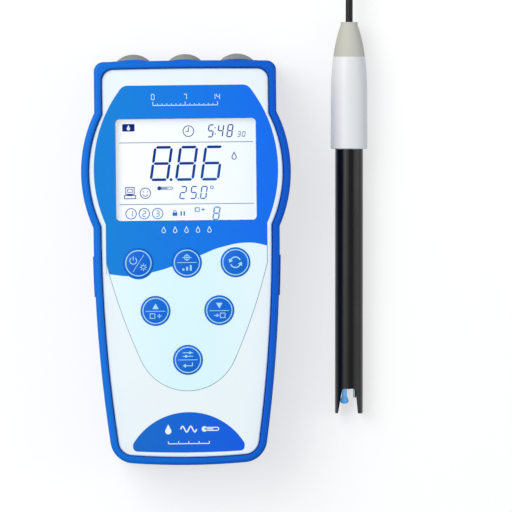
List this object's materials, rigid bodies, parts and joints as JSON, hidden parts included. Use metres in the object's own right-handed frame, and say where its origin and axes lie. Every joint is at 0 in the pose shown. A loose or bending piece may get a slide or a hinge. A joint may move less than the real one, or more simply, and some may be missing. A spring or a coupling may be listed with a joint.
{
  "type": "portable ph meter",
  "caption": "Handheld pH meter with display, round keys and capped sockets at its top end, with a glass pH electrode and its coiled lead beside it.",
  "frame": {"origin": "middle of the meter's flat back face", "axes": "+X to the right of the face, +Y along the meter towards its sockets, +Z out of the face"},
  "size_m": [0.1208, 0.2764, 0.033],
  "materials": {
    "case_blue": "fine moulded grain",
    "seal_rubber": "matte",
    "screw_steel": "plated",
    "face_white": "fine grain",
    "film_print": "printed film",
    "inlay_blue": "printed film",
    "window_clear": "clear",
    "display_glass": "satin",
    "inner_plastic": "moulded",
    "light_guide": "satin",
    "strip_rubber": "matte",
    "board_green": "solder mask",
    "chip_black": "moulded",
    "mat_rubber": "matte",
    "cover_plastic": "fine moulded grain",
    "cell_can": "sleeved",
    "contact_metal": "nickel plated",
    "block_plastic": "moulded",
    "socket_metal": "nickel plated",
    "insulator_white": "smooth",
    "contact_gold": "gold plated",
    "lead_wire": "smooth",
    "cap_rubber": "matte",
    "stand_plastic": "fine moulded grain",
    "pin_steel": "ground",
    "electrode_black": "satin",
    "handle_white": "satin",
    "relief_rubber": "matte",
    "seal_epoxy": "cast",
    "bulb_glass": "clear blue",
    "silver_wire": "drawn",
    "sensor_metal": "satin",
    "junction_ceramic": "porous",
    "cable_black": "satin jacket",
    "plug_rubber": "matte",
    "ring_nickel": "nickel plated, fluted",
    "key_blue": "satin print"
  },
  "bodies": {
    "meter": {"rear_shell": "case_blue", "front_shell": "case_blue", "case_gasket": "seal_rubber", "case_screws": "screw_steel", "face_plate": "face_white", "overlay_film": "film_print", "lower_inlay": "inlay_blue", "display_window": "window_clear", "display_panel": "display_glass", "display_frame": "inner_plastic", "backlight_panel": "light_guide", "contact_strips": "strip_rubber", "main_board": "board_green", "board_chips": "chip_black", "board_screws": "screw_steel", "keypad_mat": "mat_rubber", "battery_cover": "cover_plastic", "battery_cover_gasket": "seal_rubber", "battery_cover_screws": "screw_steel", "aa_cells": "cell_can", "battery_contacts": "contact_metal", "connector_block": "block_plastic", "electrode_socket": "socket_metal", "electrode_socket_insulator": "insulator_white", "electrode_socket_contact": "contact_gold", "temperature_socket": "socket_metal", "temperature_socket_insulator": "insulator_white", "data_socket_insert": "block_plastic", "data_socket": "socket_metal", "socket_nuts": "socket_metal", "socket_seals": "seal_rubber", "socket_leads": "lead_wire", "stand_pin": "pin_steel"},
    "key_power": {"key_power": "key_blue"},
    "key_calibrate": {"key_calibrate": "key_blue"},
    "key_mode": {"key_mode": "key_blue"},
    "key_up": {"key_up": "key_blue"},
    "key_down": {"key_down": "key_blue"},
    "key_enter": {"key_enter": "key_blue"},
    "dust_cap_left": {"dust_cap_left": "cap_rubber"},
    "dust_cap_middle": {"dust_cap_middle": "cap_rubber"},
    "dust_cap_right": {"dust_cap_right": "cap_rubber"},
    "tilt_stand": {"tilt_stand": "stand_plastic"},
    "electrode": {"electrode_body": "electrode_black", "electrode_handle": "handle_white", "strain_relief": "relief_rubber", "end_seal": "seal_epoxy", "ph_glass": "bulb_glass", "electrode_wires": "silver_wire", "temperature_sensor": "sensor_metal", "reference_junction": "junction_ceramic", "top_seal": "seal_epoxy", "cable_lead": "cable_black", "cable_coil": "cable_black", "cable_tail": "cable_black", "plug_boot": "plug_rubber", "plug_body": "socket_metal", "plug_insulator": "insulator_white", "plug_pin": "contact_gold"},
    "plug_ring": {"plug_ring": "ring_nickel"}
  },
  "joints": [
    {"name": "key_power_press", "type": "slide", "parent": "meter", "child": "key_power", "axis": [0, 0, -1], "range_m": [0, 0.0008], "stiffness_N_per_m": 900, "springref_m": -0.0008},
    {"name": "key_calibrate_press", "type": "slide", "parent": "meter", "child": "key_calibrate", "axis": [0, 0, -1], "range_m": [0, 0.0008], "stiffness_N_per_m": 900, "springref_m": -0.0008},
    {"name": "key_mode_press", "type": "slide", "parent": "meter", "child": "key_mode", "axis": [0, 0, -1], "range_m": [0, 0.0008], "stiffness_N_per_m": 900, "springref_m": -0.0008},
    {"name": "key_up_press", "type": "slide", "parent": "meter", "child": "key_up", "axis": [0, 0, -1], "range_m": [0, 0.0008], "stiffness_N_per_m": 900, "springref_m": -0.0008},
    {"name": "key_down_press", "type": "slide", "parent": "meter", "child": "key_down", "axis": [0, 0, -1], "range_m": [0, 0.0008], "stiffness_N_per_m": 900, "springref_m": -0.0008},
    {"name": "key_enter_press", "type": "slide", "parent": "meter", "child": "key_enter", "axis": [0, 0, -1], "range_m": [0, 0.0008], "stiffness_N_per_m": 900, "springref_m": -0.0008},
    {"name": "dust_cap_left_pull", "type": "slide", "parent": "meter", "child": "dust_cap_left", "axis": [0, 1, 0], "range_m": [0, 0.025]},
    {"name": "dust_cap_middle_pull", "type": "slide", "parent": "meter", "child": "dust_cap_middle", "axis": [0, 1, 0], "range_m": [0, 0.025]},
    {"name": "dust_cap_right_pull", "type": "slide", "parent": "meter", "child": "dust_cap_right", "axis": [0, 1, 0], "range_m": [0, 0.025]},
    {"name": "stand_fold", "type": "hinge", "parent": "meter", "child": "tilt_stand", "pos_m": [0, 0.0625, 0.0022], "axis": [1, 0, 0], "range_deg": [0, 60]},
    {"name": "electrode_lift", "type": "slide", "parent": "meter", "child": "electrode", "axis": [0, 0, 1], "range_m": [0, 0.05]},
    {"name": "plug_ring_turn", "type": "hinge", "parent": "electrode", "child": "plug_ring", "pos_m": [-0.02, 0.1842, 0.00725], "axis": [-1, 0, 0], "continuous": true}
  ]
}
